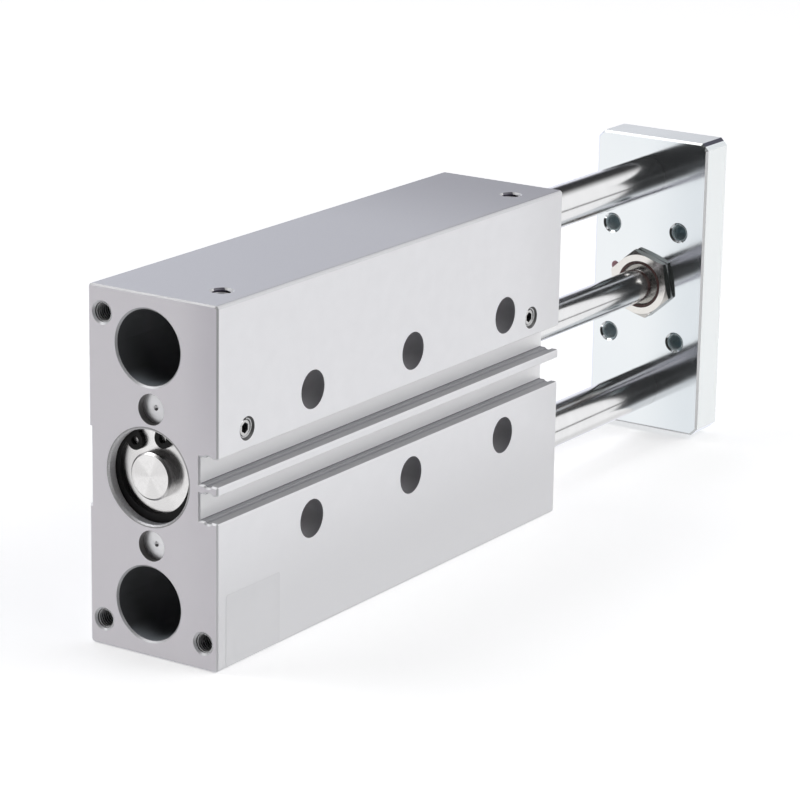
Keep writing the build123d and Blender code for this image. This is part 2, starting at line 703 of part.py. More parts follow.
def piston_seal(groove, faces_front):
    """Lip seal whose flared lip points to its own chamber."""
    start, width, depth = groove
    inner = BORE / 2 - LOOSE_PLAY - depth + SEAT_PLAY
    lip = BORE / 2 - RUNNING_PLAY
    body = lip - PISTON_SEAL_LIP
    closed = start + SEAT_PLAY
    open_end = start + width - SEAT_PLAY
    if not faces_front:
        closed, open_end = open_end, closed
    neck = (closed + open_end) / 2
    seal = turned((closed, inner), (closed, body), (neck, body), (open_end, lip), (open_end, inner))
    return on_rod_axis(Pos(PISTON_REAR, 0, 0) * seal)


def cushion_pad(start):
    """Ring let into the piston's end that meets the cap at the end of the stroke."""
    inner = PAD_HOLE / 2 + SEAT_PLAY
    outer = PAD_OUTSIDE / 2 - SEAT_PLAY
    return on_rod_axis(tube(start, start + PAD_SUNK + PAD_PROUD, inner, outer))


def make_piston_nut():
    """Nut on the rod's spigot that holds the piston."""
    start = PISTON_REAR - PISTON_NUT_HEIGHT
    nut = hexagon(start, PISTON_REAR, PISTON_NUT_FLATS)
    nut -= rod(start, PISTON_REAR, ROD_SPIGOT / 2 + SEAT_PLAY)
    return on_rod_axis(nut)


def make_piston_rod():
    """Rod with a threaded spigot through the piston and another in the coupling sleeve."""
    tail = PISTON_REAR - PISTON_NUT_HEIGHT - SPIGOT_END
    nose = COUPLING_REAR + COUPLING_SPIGOT_LENGTH
    spigot = ROD_SPIGOT / 2
    coupling = COUPLING_SPIGOT / 2 - SEAT_PLAY
    body = turned(
        (tail, 0), (tail, spigot - SCREW_CHAMFER), (tail + SCREW_CHAMFER, spigot), (PISTON_FRONT, spigot),
        (PISTON_FRONT, PISTON_ROD / 2), (COUPLING_REAR, PISTON_ROD / 2), (COUPLING_REAR, coupling),
        (nose - SCREW_CHAMFER, coupling), (nose, coupling - SCREW_CHAMFER), (nose, 0),
    )
    return on_rod_axis(body)


def make_coupling_sleeve():
    """Threaded sleeve through the yoke: it takes the rod's spigot, and a key from the front."""
    radius = COUPLING / 2 - SEAT_PLAY
    front = YOKE_FRONT - COUPLING_SUNK
    sleeve = turned(
        (COUPLING_REAR, 0), (COUPLING_REAR, radius), (front - COUPLING_CHAMFER, radius),
        (front, radius - COUPLING_CHAMFER), (front, 0),
    )
    sleeve -= rod(COUPLING_REAR, COUPLING_REAR + COUPLING_SPIGOT_LENGTH, COUPLING_SPIGOT / 2)
    sleeve -= hexagon(front - COUPLING_SOCKET_DEPTH, front, COUPLING_SOCKET)
    return on_rod_axis(sleeve)


def make_lock_nut():
    """Thin hexagon nut, chamfered on both faces and countersunk towards the cylinder."""
    start = YOKE_REAR - LOCK_NUT_HEIGHT
    corner = LOCK_NUT_FLATS / 2 / cos(radians(30))
    bevel = (corner - LOCK_NUT_FLATS / 2) / 2
    nut = hexagon(start, YOKE_REAR, LOCK_NUT_FLATS, LOCK_NUT_TURN)
    nut &= turned(
        (start, 0), (start, LOCK_NUT_FLATS / 2), (start + bevel, corner), (YOKE_REAR - bevel, corner),
        (YOKE_REAR, LOCK_NUT_FLATS / 2), (YOKE_REAR, 0),
    )
    sink = (LOCK_NUT_COUNTERSINK - COUPLING) / 2
    nut -= turned(
        (start, 0), (start, LOCK_NUT_COUNTERSINK / 2), (start + sink, COUPLING / 2),
        (YOKE_REAR, COUPLING / 2), (YOKE_REAR, 0),
    )
    return on_rod_axis(nut)


def make_yoke_plate():
    """Plate that joins the three rods: rod seats behind, screw pockets in front, four threads."""
    plate = Pos(YOKE_REAR + YOKE_THICKNESS / 2, 0, ROD_Z) * Box(YOKE_THICKNESS, YOKE_WIDTH, YOKE_HEIGHT)
    plate = chamfer(plate.edges().filter_by(Axis.X), YOKE_CORNER_CHAMFER)
    for end in (0, -1):
        end_face = plate.faces().sort_by(Axis.X)[end]
        plate = chamfer(end_face.outer_wire().edges(), YOKE_FACE_CHAMFER)
    for side_y in (-1, 1):
        for side_z in (-1, 1):
            y = AXIS_OFFSET + side_y * YOKE_THREADS_Y / 2
            z = ROD_Z + side_z * YOKE_THREADS_Z / 2
            plate -= Pos(YOKE_REAR, y, z) * threaded_through(YOKE_THICKNESS)
    plate -= on_rod_axis(rod(YOKE_REAR, YOKE_FRONT, COUPLING / 2))
    pocket = YOKE_FRONT - GUIDE_SCREW_HEAD_HEIGHT - GUIDE_SCREW_SUNK
    for height in GUIDE_HEIGHTS.values():
        hole = rod(YOKE_REAR, YOKE_REAR + ROD_SEAT_DEPTH, GUIDE_ROD / 2 + SEAT_PLAY)
        hole += rod(YOKE_REAR, YOKE_FRONT, GUIDE_SCREW_HOLE / 2)
        hole += rod(pocket, YOKE_FRONT, GUIDE_SCREW_POCKET / 2)
        plate -= Pos(0, AXIS_OFFSET, height) * hole
    return plate


def guide_rod(height):
    """Hardened guide rod with a threaded hole in its front end."""
    tail = X_REAR + GUIDE_TAIL + PARKED_TRAVEL
    nose = YOKE_REAR + ROD_SEAT_DEPTH
    radius = GUIDE_ROD / 2
    body = turned(
        (tail, 0),
        (tail, radius - GUIDE_ROD_CHAMFER),
        (tail + GUIDE_ROD_CHAMFER, radius),
        (nose, radius),
        (nose, 0),
    )
    body -= rod(nose - GUIDE_SCREW_REACH - DRILL_SPARE, nose, GUIDE_SCREW / 2 + SEAT_PLAY)
    return Pos(0, AXIS_OFFSET, height) * body


def guide_rod_screw(height):
    """Socket head screw that pulls a guide rod against the yoke plate."""
    head_front = YOKE_FRONT - GUIDE_SCREW_SUNK
    head_rear = head_front - GUIDE_SCREW_HEAD_HEIGHT
    end = YOKE_REAR + ROD_SEAT_DEPTH - GUIDE_SCREW_REACH
    shank = GUIDE_SCREW / 2
    head = GUIDE_SCREW_HEAD / 2
    screw = turned(
        (end, 0),
        (end, shank - SCREW_CHAMFER),
        (end + SCREW_CHAMFER, shank),
        (head_rear, shank),
        (head_rear, head),
        (head_front - SCREW_CHAMFER, head),
        (head_front, head - SCREW_CHAMFER),
        (head_front, 0),
    )
    screw -= hexagon(head_front - GUIDE_SCREW_SOCKET_DEPTH, head_front, GUIDE_SCREW_SOCKET)
    return Pos(0, AXIS_OFFSET, height) * screw


def fixed_nodes():
    """Everything that stays with the housing."""
    nodes = {"housing": make_housing()}
    nodes["rear_end_cap"] = make_rear_cap()
    nodes["front_bearing_cap"] = make_front_cap()
    for end, front in (("rear", False), ("front", True)):
        nodes[f"{end}_cap_o_ring"] = cap_o_ring(front)
        nodes[f"{end}_retaining_ring"] = retaining_ring(front)
        for row, height in CHANNEL_HEIGHTS.items():
            nodes[f"{end}_channel_plug_{row}"] = channel_plug(height, front)
    nodes["rear_port_plug_screw"] = port_plug_screw(X_REAR + REAR_PORT_INSET)
    nodes["front_port_plug_screw"] = port_plug_screw(X_FRONT - FRONT_PORT_INSET)
    nodes["rod_bearing_bush"] = make_rod_bush()
    nodes["rod_seal"] = make_rod_seal()
    nodes["rod_wiper"] = make_rod_wiper()
    front_bushing = X_FRONT - GUIDE_WIPER_SUNK - GUIDE_WIPER_LENGTH - BUSHING_LENGTH
    rear_bushing = front_bushing - BUSHING_SPACING - BUSHING_LENGTH
    for row, height in GUIDE_HEIGHTS.items():
        nodes[f"guide_wiper_{row}"] = guide_wiper(height)
        for end, x in (("rear", rear_bushing), ("front", front_bushing)):
            place = Pos(x, AXIS_OFFSET, height)
            name = f"ball_bushing_{row}_{end}"
            nodes[f"{name}_shell"] = place * bushing_shell()
            nodes[f"{name}_cage"] = place * bushing_cage()
            nodes[f"{name}_balls"] = Compound(children=[place * ball for ball in bushing_balls()])
    return nodes


def moving_nodes():
    """Everything that slides with the yoke."""
    rear_seal, guide_ring, magnet, front_seal = piston_grooves()
    nodes = {"yoke_plate": make_yoke_plate()}
    nodes["piston_rod"] = make_piston_rod()
    nodes["rod_coupling_sleeve"] = make_coupling_sleeve()
    nodes["rod_lock_nut"] = make_lock_nut()
    nodes["piston"] = make_piston()
    nodes["piston_nut"] = make_piston_nut()
    nodes["piston_seal_rear"] = piston_seal(rear_seal, False)
    nodes["piston_seal_front"] = piston_seal(front_seal, True)
    nodes["piston_guide_ring"] = piston_ring(guide_ring, BORE / 2 - RUNNING_PLAY)
    nodes["piston_magnet"] = piston_ring(magnet, BORE / 2 - LOOSE_PLAY - MAGNET_SUNK)
    nodes["cushion_pad_rear"] = cushion_pad(PISTON_REAR - PAD_PROUD)
    nodes["cushion_pad_front"] = cushion_pad(PISTON_FRONT - PAD_SUNK)
    for row, height in GUIDE_HEIGHTS.items():
        nodes[f"guide_rod_{row}"] = guide_rod(height)
        nodes[f"guide_rod_screw_{row}"] = guide_rod_screw(height)
    return nodes


os.makedirs("parts", exist_ok=True)
for name, shape in {**fixed_nodes(), **moving_nodes()}.items():
    export_step(shape, f"parts/{name}.step")
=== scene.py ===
from math import pi, radians

import bpy
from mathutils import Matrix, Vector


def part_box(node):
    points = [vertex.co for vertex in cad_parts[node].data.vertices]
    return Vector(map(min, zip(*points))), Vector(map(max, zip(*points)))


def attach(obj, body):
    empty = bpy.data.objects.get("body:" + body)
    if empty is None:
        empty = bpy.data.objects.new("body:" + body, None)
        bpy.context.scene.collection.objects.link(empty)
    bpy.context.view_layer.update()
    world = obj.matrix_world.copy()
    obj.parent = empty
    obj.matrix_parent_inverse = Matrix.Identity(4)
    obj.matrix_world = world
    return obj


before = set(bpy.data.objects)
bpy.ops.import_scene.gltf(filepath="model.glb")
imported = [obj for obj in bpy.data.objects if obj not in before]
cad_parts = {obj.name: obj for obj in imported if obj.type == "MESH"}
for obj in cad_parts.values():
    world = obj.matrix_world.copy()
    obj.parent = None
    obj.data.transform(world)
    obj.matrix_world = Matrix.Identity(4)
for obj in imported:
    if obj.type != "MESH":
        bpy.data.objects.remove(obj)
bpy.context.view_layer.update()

# Studio: a white table in a white room, with one large soft lamp to the right and one above the back.
# The room is darkened above the back of the table, overhead, behind the camera, low in front, below
# and in a thin line low at the right. Chrome and broken edges show this, and not the table.
def place(tree, kind, wires, **settings):
    """Adds a shader node, sets it up and fills its inputs with values or with other nodes' outputs."""
    made = tree.nodes.new(kind)
    for key, value in settings.items():
        setattr(made, key, value)
    for key, value in wires.items():
        if isinstance(value, bpy.types.NodeSocket):
            tree.links.new(value, made.inputs[key])
        else:
            made.inputs[key].default_value = value
    return made


def calc(tree, operation, first, second=0.0):
    """Result of one sum on one or two values."""
    return place(tree, "ShaderNodeMath", {0: first, 1: second}, operation=operation).outputs[0]


def ramp(tree, value, start, end, low=0.0, high=1.0):
    """Soft step from low at start to high at end."""
    return place(tree, "ShaderNodeMapRange", {
        "Value": value, "From Min": start, "From Max": end, "To Min": low, "To Max": high,
    }, interpolation_type="SMOOTHSTEP").outputs["Result"]


def overlap(tree, first, *others):
    """Where all of the masks hold."""
    for other in others:
        first = calc(tree, "MULTIPLY", first, other)
    return first


def union(tree, first, *others):
    """Where any of the masks holds."""
    for other in others:
        first = calc(tree, "MAXIMUM", first, other)
    return first


def mixed_colour(tree, mask, first, second):
    """First colour, turned to the second where the mask holds."""
    mix = place(tree, "ShaderNodeMix", {"Factor": mask, "A": first, "B": second}, data_type="RGBA")
    return mix.outputs["Result"]


bpy.ops.object.camera_add(location=(-0.71213, -0.48679, 0.29677), rotation=(1.28970, -0.01592, -0.98538))
camera = bpy.context.object
camera.name = "camera"
camera.data.sensor_width = 36
camera.data.lens = 155.14
camera.data.clip_start = 0.01
bpy.context.scene.camera = camera
bpy.context.scene.view_settings.view_transform = "Standard"

room = bpy.data.worlds.new("white_room")
bpy.context.scene.world = room
room.use_nodes = True
tree = room.node_tree
heading = place(tree, "ShaderNodeTexCoord", {}).outputs["Generated"]
x, y, z = place(tree, "ShaderNodeSeparateXYZ", {"Vector": heading}).outputs
climb = calc(tree, "ARCTAN2", z, y)
above_table = overlap(
    tree, ramp(tree, climb, radians(17), radians(40)), ramp(tree, climb, radians(124), radians(78)),
    ramp(tree, x, 0.45, 0.84, 0.0, 0.97))
behind_camera = overlap(tree, ramp(tree, x, -0.30, -0.45), ramp(tree, z, 0.0, 0.08, 0.0, 0.97))
overhead = ramp(tree, z, 0.87, 0.94, 0.0, 0.85)
low_line = overlap(
    tree, ramp(tree, z, -0.068, -0.092), ramp(tree, z, -0.152, -0.128),
    ramp(tree, y, 0.02, -0.02), ramp(tree, x, 0.20, 0.30, 0.0, 0.95))
low_front = place(tree, "ShaderNodeVectorMath", {0: heading, 1: (-0.56, -0.80, -0.22)},
                  operation="DOT_PRODUCT").outputs["Value"]
low_front = ramp(tree, low_front, 0.72, 0.90, 0.0, 0.97)
underneath = ramp(tree, z, -0.45, -0.65, 0.0, 0.40)
shade = union(tree, above_table, behind_camera, overhead, low_line, low_front, underneath)
seen = place(tree, "ShaderNodeLightPath", {}).outputs["Is Camera Ray"]
room_level = union(tree, calc(tree, "SUBTRACT", 1.0, shade), seen)
cool_side = overlap(tree, ramp(tree, y, 0.0, 0.5), ramp(tree, x, -0.1, 0.3),
                    calc(tree, "SUBTRACT", 1.0, seen))
room_light = tree.nodes["Background"]
tree.links.new(mixed_colour(tree, cool_side, (1, 1, 1, 1), (0.90, 0.91, 1.0, 1)), room_light.inputs["Color"])
tree.links.new(room_level, room_light.inputs["Strength"])

for name, where, turn, width, power in (
    ("soft_lamp_right", (0.35, -1.15, 1.0), (radians(52), 0, radians(12)), 1.1, 4.0),
    ("lamp_above_back", (-0.38, 0.78, 1.25), (radians(35), 0, radians(-159)), 0.8, 4.0),
):
    bpy.ops.object.light_add(type="AREA", location=where, rotation=turn)
    lamp = bpy.context.object
    lamp.name = name
    lamp.data.shape = "DISK"
    lamp.data.size = width
    lamp.data.energy = power

TABLE_DROP = 0.0002         # the table lies this far under the housing, so that the two never flicker
TABLE_LIFT = 0.42           # light that the table gives to the camera alone, for a white background
bpy.ops.object.select_all(action="DESELECT")
bpy.ops.mesh.primitive_plane_add(size=8, location=(0, 0, -TABLE_DROP))
table = bpy.context.object
table.name = "table"
table_finish = bpy.data.materials.new("white_table")
table_finish.use_nodes = True
tree = table_finish.node_tree
shader = tree.nodes["Principled BSDF"]
shader.inputs["Base Color"].default_value = (0.90, 0.90, 0.905, 1)
shader.inputs["Roughness"].default_value = 0.9
shader.inputs["Specular IOR Level"].default_value = 0.1
shader.inputs["Emission Color"].default_value = (1, 1, 1, 1)
seen = place(tree, "ShaderNodeLightPath", {}).outputs["Is Camera Ray"]
tree.links.new(calc(tree, "MULTIPLY", seen, TABLE_LIFT), shader.inputs["Emission Strength"])
table.data.materials.append(table_finish)
table.visible_glossy = False

# Housing: a length of extruded aluminium, bored and drilled, then finely blasted and clear anodised.
# The bores and counterbores are painted nearly black inside, as painted shade, and the cap seats show their
# turning marks.
low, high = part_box("housing")
REAR_END, WIDE_FACE = low.x, low.y
FRONT_END, TOP = high.x, high.z
ROD_PLANE = 0.0014          # y of the three rods
ROD_HEIGHT = 0.046          # z of the piston rod
GUIDE_RISE = 0.0325         # from the piston rod up or down to a guide rod
GUIDE_BORE = 0.0095         # radii of the holes, as are the next ones
CAP_SEAT = 0.012
COUNTERBORE = 0.005
THREAD = 0.0025
SIDE_PORT = 0.003
PLUG_RECESS = 0.0039
PAST_WALL = 0.00002         # how far a mask reaches past the wall of a hole
PAST_RECESS = 0.00003       # the same for the counterbores and the recesses of the channel plugs
BOLT_MIDDLE = 0.0056        # x of the middle pair of bolt holes
BOLT_PITCH = 0.045
BOLT_RISE = 0.01675         # from the piston rod up or down to a row of bolt holes
SLOT_RISE = 0.0046          # from the piston rod up or down to a sensor slot
SLOT_HALF = 0.0040          # half the width of a slot with its undercut
REAR_THREADS = {            # y and z of each
    "upper_back": (0.0152, 0.0852),
    "lower_back": (0.0152, 0.0068),
    "lower_front": (-0.0152, 0.0068),
}
TOP_PORTS = {"rear": -0.0658, "front": 0.0658}       # x of each
TOP_PORT_PLANE = -0.011
SIDE_PORTS = {"rear": -0.0670, "front": 0.0640}      # x of each
SIDE_PORT_HEIGHT = 0.0593
PLUG_PLANE = 0.0004         # y of the channel plugs
PLUG_RISE = 0.0173          # from the piston rod up or down to a channel plug


def pattern_group(name):
    """Empty node group with the sockets that all surface patterns share."""
    group = bpy.data.node_groups.new(name, "ShaderNodeTree")
    for socket, kind in (("Vector", "Vector"), ("Scale", "Float"), ("Low", "Float"), ("High", "Float")):
        group.interface.new_socket(socket, in_out="INPUT", socket_type="NodeSocket" + kind)
    for socket in ("Value", "Height"):
        group.interface.new_socket(socket, in_out="OUTPUT", socket_type="NodeSocketFloat")
    return group, group.nodes.new("NodeGroupInput").outputs, group.nodes.new("NodeGroupOutput").inputs


def finish_group(group, noise, given, result):
    """Ends a pattern group: the noise as a height, and spread between its low and high value."""
    spread = place(group, "ShaderNodeMapRange", {
        "Value": noise, "From Min": 0.3, "From Max": 0.7, "To Min": given["Low"], "To Max": given["High"],
    })
    group.links.new(spread.outputs["Result"], result["Value"])
    group.links.new(noise, result["Height"])


grain, given, result = pattern_group("fine_grain")
speck = place(grain, "ShaderNodeTexNoise", {
    "Vector": given["Vector"], "Scale": given["Scale"], "Detail": 2.0,
})
finish_group(grain, speck.outputs["Fac"], given, result)

rings, given, result = pattern_group("turned_rings")
along, side, rise = place(rings, "ShaderNodeSeparateXYZ", {"Vector": given["Vector"]}).outputs
radius = calc(rings, "SQRT", calc(rings, "ADD", calc(rings, "MULTIPLY", side, side),
                                  calc(rings, "MULTIPLY", rise, rise)))
across = place(rings, "ShaderNodeCombineXYZ", {"X": along, "Y": radius}).outputs["Vector"]
mark = place(rings, "ShaderNodeTexNoise", {"Vector": across, "Scale": given["Scale"], "Detail": 3.0},
             noise_dimensions="2D")
finish_group(rings, mark.outputs["Fac"], given, result)


def patterned(tree, group, coordinates, scale, low=0.0, high=1.0):
    """Outputs of a pattern group, placed in a material with its own values."""
    made = tree.nodes.new("ShaderNodeGroup")
    made.node_tree = group
    tree.links.new(coordinates, made.inputs["Vector"])
    made.inputs["Scale"].default_value = scale
    made.inputs["Low"].default_value = low
    made.inputs["High"].default_value = high
    return made.outputs


def finish(name, dark, light, group, scale, roughness, relief, metallic=1.0, centre=(0, 0, 0),
           stretch=(1, 1, 1)):
    """Surface whose roughness and relief follow one pattern and whose tone drifts between two colours."""
    made = bpy.data.materials.new(name)
    made.use_nodes = True
    tree = made.node_tree
    shader = tree.nodes["Principled BSDF"]
    shader.inputs["Metallic"].default_value = metallic
    own = place(tree, "ShaderNodeTexCoord", {}).outputs["Object"]
    moved = place(tree, "ShaderNodeMapping", {
        "Vector": own, "Location": [-c * s for c, s in zip(centre, stretch)], "Scale": stretch,
    }).outputs["Vector"]
    surface = patterned(tree, group, moved, scale, *roughness)
    drift = patterned(tree, grain, moved, scale / 12)
    tone = mixed_colour(tree, drift["Value"], (*dark, 1), (*light, 1))
    bump = place(tree, "ShaderNodeBump", {"Strength": 1.0, "Distance": relief, "Height": surface["Height"]})
    tree.links.new(tone, shader.inputs["Base Color"])
    tree.links.new(surface["Value"], shader.inputs["Roughness"])
    tree.links.new(bump.outputs["Normal"], shader.inputs["Normal"])
    return made


def dress(finish_used, *nodes):
    """Gives CAD nodes their finish."""
    for node in nodes:
        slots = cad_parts[node].data.materials
        slots.clear()
        slots.append(finish_used)


def spot_of(tree):
    """Place on the piece, as one vector and as x, y and z."""
    own = place(tree, "ShaderNodeTexCoord", {}).outputs["Object"]
    x, y, z = place(tree, "ShaderNodeSeparateXYZ", {"Vector": own}).outputs
    return own, x, y, z


def facing_of(tree):
    """The way that the surface faces, as its X, Y and Z."""
    normal = place(tree, "ShaderNodeTexCoord", {}).outputs["Normal"]
    return place(tree, "ShaderNodeSeparateXYZ", {"Vector": normal}).outputs


def size_of(tree, value):
    """The value without its sign."""
    return calc(tree, "ABSOLUTE", value)


def over(tree, value, limit):
    """Where the value is above the limit."""
    return calc(tree, "GREATER_THAN", value, limit)


def under(tree, value, limit):
    """Where the value is below the limit."""
    return calc(tree, "LESS_THAN", value, limit)


def square_to(tree, component):
    """Where a surface faces squarely along the component."""
    return ramp(tree, component, 0.90, 0.95)


def broken_edge(tree, first, second, sign):
    """Where an edge is broken at 45 degrees between two faces. The sign is that of their product."""
    return ramp(tree, calc(tree, "MULTIPLY", first, second), sign * 0.30, sign * 0.45)


def holes(tree, own, along, centres, radius):
    """Mask that is 1 inside round holes of one radius, all along one axis."""
    across = [0.0 if axis == along else 1.0 for axis in "XYZ"]
    flat = place(tree, "ShaderNodeVectorMath", {0: own, 1: across}, operation="MULTIPLY").outputs["Vector"]
    inside = 0.0
    for centre in centres:
        away = place(tree, "ShaderNodeVectorMath", {0: flat, 1: centre}, operation="DISTANCE")
        inside = calc(tree, "MAXIMUM", under(tree, away.outputs["Value"], radius), inside)
    return inside


def collars(tree, own, along, centres, inner, outer):
    """Mask that is 1 between two radii round the same axes."""
    return calc(tree, "SUBTRACT", holes(tree, own, along, centres, outer),
                holes(tree, own, along, centres, inner))


def coat(tree, mask, colour=None, metallic=None, roughness=None):
    """Gives the masked part of a finish another colour, metalness or roughness."""
    shader = tree.nodes["Principled BSDF"]
    for name, value in (("Base Color", colour), ("Metallic", metallic), ("Roughness", roughness)):
        if value is None:
            continue
        socket = shader.inputs[name]
        before = socket.links[0].from_socket if socket.links else socket.default_value
        if name == "Base Color":
            changed = mixed_colour(tree, mask, before, (*value, 1))
        else:
            mix = place(tree, "ShaderNodeMix", {"Factor": mask, "A": before, "B": value})
            changed = mix.outputs["Result"]
        tree.links.new(changed, socket)


anodised = finish("anodised_block", (0.88, 0.88, 0.905), (0.90, 0.90, 0.925), grain, 2600, (0.40, 0.50),
                  0.000010, metallic=0.5)
tree = anodised.node_tree
own, x, y, z = spot_of(tree)
facing = facing_of(tree)

# Painted shade: the end faces and the top are painted darker than the wide face, and darker again at the
# ends' upper corner, towards the top's front and low and at the front of the wide face.
end_face = square_to(tree, size_of(tree, facing["X"]))
top_face = square_to(tree, facing["Z"])
wide_face = ramp(tree, facing["Y"], -0.90, -0.95)
shaded_corner = overlap(tree, ramp(tree, y, -0.006, -0.019), ramp(tree, z, 0.046, 0.080, 0.4, 1.0))
shaded_outskirts = union(tree, ramp(tree, z, 0.042, 0.010), ramp(tree, x, 0.050, FRONT_END, 0.0, 0.6))
coat(tree, end_face, (0.85, 0.825, 0.865))
coat(tree, top_face, (0.72, 0.725, 0.765))
coat(tree, overlap(tree, end_face, shaded_corner), (0.72, 0.695, 0.745))
coat(tree, overlap(tree, top_face, ramp(tree, x, 0.005, FRONT_END)), (0.54, 0.54, 0.58))
coat(tree, overlap(tree, wide_face, shaded_outskirts), (0.775, 0.775, 0.795))

# The long top edge is rounded, and the edges of the rear end are broken.
EDGE_ROUND = 0.0012
EDGE_BREAK = 0.0006
rounded = overlap(tree, ramp(tree, facing["Y"], -0.50, -0.75), ramp(tree, facing["Z"], 0.08, 0.25),
                  over(tree, z, TOP - EDGE_ROUND))
broken_top = overlap(tree, broken_edge(tree, facing["X"], facing["Z"], -1),
                     over(tree, z, TOP - EDGE_BREAK))
broken_side = overlap(tree, broken_edge(tree, facing["X"], facing["Y"], 1),
                      under(tree, y, WIDE_FACE + EDGE_BREAK))
# Painted shade on the rounded edge and the top break; the side break is painted light low down and painted
# shade above.
coat(tree, rounded, (0.73, 0.73, 0.75))
coat(tree, broken_top, (0.62, 0.62, 0.63))
coat(tree, broken_side, (0.80, 0.80, 0.82), 0.0)
coat(tree, overlap(tree, broken_side, ramp(tree, z, 0.015, 0.085)), (0.50, 0.50, 0.51))

# Slots, in painted light and shade: floors painted light, lower walls painted darker with a darker undercut,
# and a matt rim along each mouth's top as a painted highlight.
rise = size_of(tree, calc(tree, "SUBTRACT", z, ROD_HEIGHT))
beside_slots = under(tree, rise, SLOT_RISE + SLOT_HALF)
in_slot = overlap(tree, beside_slots, over(tree, y, WIDE_FACE + 0.00015),
                  under(tree, y, WIDE_FACE + 0.0056), under(tree, size_of(tree, x), FRONT_END - 0.0005))
deep = overlap(tree, in_slot, over(tree, y, WIDE_FACE + 0.0034))
slot_rim_highlight = overlap(tree, beside_slots, under(tree, y, WIDE_FACE + 0.0008),
                   ramp(tree, facing["Z"], -0.05, -0.30))
undercut = over(tree, size_of(tree, calc(tree, "SUBTRACT", rise, SLOT_RISE)), 0.0032)
coat(tree, overlap(tree, in_slot, ramp(tree, facing["Z"], 0.45, 0.25)), (0.97, 0.97, 0.98))
coat(tree, overlap(tree, deep, ramp(tree, facing["Z"], 0.45, 0.70)), (0.62, 0.62, 0.64))
coat(tree, overlap(tree, in_slot, ramp(tree, facing["Z"], 0.70, 0.98)), (0.47, 0.47, 0.485))
coat(tree, slot_rim_highlight, (0.92, 0.92, 0.93), 0.0, 0.5)
coat(tree, overlap(tree, deep, undercut), (0.34, 0.34, 0.36))

# Cap seats: turned walls with dark chatter marks, painted shade on the walls and painted light where they
# face down, and a chamfer.
rod_axis = [(0, ROD_PLANE, ROD_HEIGHT)]
not_end_face = ramp(tree, size_of(tree, facing["X"]), 0.90, 0.80)
seat_wall = overlap(tree, collars(tree, own, "X", rod_axis, CAP_SEAT - 0.0015, CAP_SEAT + 0.0007),
                    over(tree, size_of(tree, x), FRONT_END - 0.0030))
seat_edge = overlap(tree, collars(tree, own, "X", rod_axis, CAP_SEAT + 0.00001, CAP_SEAT + 0.00042),
                    not_end_face)
chatter = patterned(tree, grain, own, 2600, 0.0, 0.3)["Value"]
coat(tree, overlap(tree, seat_wall, ramp(tree, facing["Z"], 0.70, 0.40)), (0.52, 0.51, 0.52), 0.1, 0.5)
coat(tree, overlap(tree, seat_wall, ramp(tree, facing["Z"], 0.05, -0.45)), (0.96, 0.95, 0.96))
coat(tree, overlap(tree, seat_edge, ramp(tree, facing["Z"], 0.50, 0.20)), (0.85, 0.84, 0.85), 0.0, 0.5)
coat(tree, overlap(tree, seat_wall, chatter), (0.22, 0.22, 0.22))

# Guide bores: painted nearly black at the rear end as painted shade, with painted light on the floor,
# painted paler further in, and a grey chamfer.
guide_axes = [(0, ROD_PLANE, ROD_HEIGHT - GUIDE_RISE), (0, ROD_PLANE, ROD_HEIGHT + GUIDE_RISE)]
bores = holes(tree, own, "X", guide_axes, GUIDE_BORE + PAST_WALL)
mouths = overlap(tree, collars(tree, own, "X", guide_axes, GUIDE_BORE + PAST_WALL, GUIDE_BORE + 0.00052),
                 not_end_face)
lit_mouth = overlap(tree, ramp(tree, facing["Z"], 0.70, 0.99), ramp(tree, x, -0.066, REAR_END))
coat(tree, overlap(tree, mouths, ramp(tree, facing["Z"], 0.50, 0.20)), (0.62, 0.62, 0.64), 0.3, 0.4)
coat(tree, bores, (0.090, 0.093, 0.099), 0.0, 0.6)
coat(tree, overlap(tree, bores, ramp(tree, x, REAR_END, -0.048)), (0.46, 0.47, 0.49))
coat(tree, overlap(tree, bores, lit_mouth), (0.36, 0.39, 0.43))

# Counterbores: six alike, folded onto one, painted dark inside as painted shade and paler further in.
column = place(tree, "ShaderNodeMath", {
    0: calc(tree, "SUBTRACT", x, BOLT_MIDDLE), 1: BOLT_PITCH / 2, 2: -BOLT_PITCH / 2,
}, operation="WRAP").outputs[0]
folded = place(tree, "ShaderNodeCombineXYZ", {"X": column, "Z": rise}).outputs["Vector"]
counterbores = overlap(tree, holes(tree, folded, "Y", [(0, 0, BOLT_RISE)], COUNTERBORE + PAST_RECESS),
                       under(tree, size_of(tree, y), -WIDE_FACE - 0.00005))
coat(tree, counterbores, (0.250, 0.248, 0.262), 0.0, 0.6)
coat(tree, overlap(tree, counterbores, ramp(tree, y, WIDE_FACE, -0.0125)), (0.54, 0.53, 0.55))

# Small holes: the tapped holes and the recesses of the channel plugs are painted dark as painted shade, and
# each top port's far lip carries a painted dark reflection.
rear_thread_axes = [(0, *spot) for spot in REAR_THREADS.values()]
plug_axes = [(0, PLUG_PLANE, ROD_HEIGHT - PLUG_RISE), (0, PLUG_PLANE, ROD_HEIGHT + PLUG_RISE)]
side_port_axes = [(along, 0, SIDE_PORT_HEIGHT) for along in SIDE_PORTS.values()]
top_port_axes = [(along, TOP_PORT_PLANE, 0) for along in TOP_PORTS.values()]
far_lip_reflection_axes = [(along + 0.0014, TOP_PORT_PLANE + 0.0018, 0) for along in TOP_PORTS.values()]
tapped_rear = overlap(tree, holes(tree, own, "X", rear_thread_axes, THREAD + PAST_WALL),
                      under(tree, x, REAR_END + 0.014))
tapped_side = holes(tree, own, "Y", side_port_axes, SIDE_PORT + PAST_WALL)
recesses = holes(tree, own, "X", plug_axes, PLUG_RECESS + PAST_RECESS)
tapped_top = holes(tree, own, "Z", top_port_axes, THREAD + PAST_WALL)
